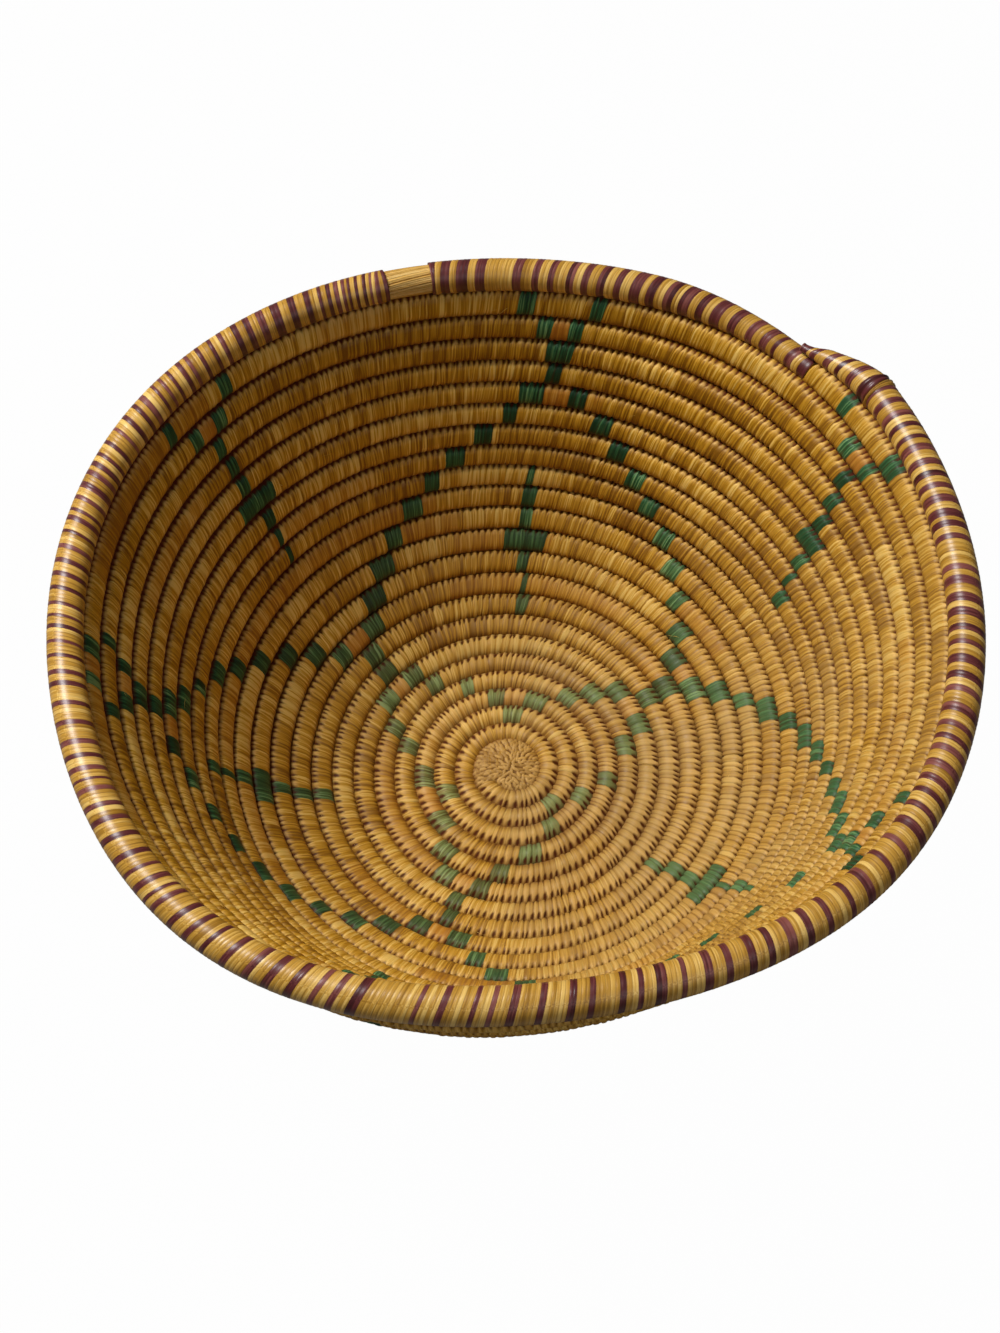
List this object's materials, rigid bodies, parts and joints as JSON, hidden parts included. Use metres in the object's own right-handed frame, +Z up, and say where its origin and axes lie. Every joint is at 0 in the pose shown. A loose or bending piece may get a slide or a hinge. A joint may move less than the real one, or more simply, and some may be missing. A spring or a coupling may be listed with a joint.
{
  "type": "coiled basket bowl",
  "caption": "Deep round bowl of coiled, stitched grass and palm strands with a thicker striped rim, for fruit, bread or small goods.",
  "frame": {"origin": "under the middle of the bowl, on the surface that the basket stands on", "axes": "+Z up out of the bowl, +X along its longer way across, and the rim's tail lies between +X and +Y"},
  "size_m": [0.2916, 0.2773, 0.1393],
  "materials": {
    "start_stitching": "worn palm stitching, matt",
    "floor_stitching": "worn palm stitching with faded green blocks, matt",
    "wall_stitching": "gold palm stitching with dark green blocks, half gloss",
    "grass_bundle": "dry grass stems lying side by side",
    "rim_wrapping": "smooth palm strands in gold and maroon stripes, half gloss"
  },
  "bodies": {
    "root": {"start_disc": "start_stitching", "floor_coil": "floor_stitching", "bend_coil": "floor_stitching", "wall_coil_lower": "wall_stitching", "wall_coil_middle": "wall_stitching", "wall_coil_upper": "wall_stitching", "rim_core": "grass_bundle", "rim_wrap_short": "rim_wrapping", "rim_wrap_long": "rim_wrapping", "rim_wrap_tail": "rim_wrapping"}
  },
  "joints": []
}
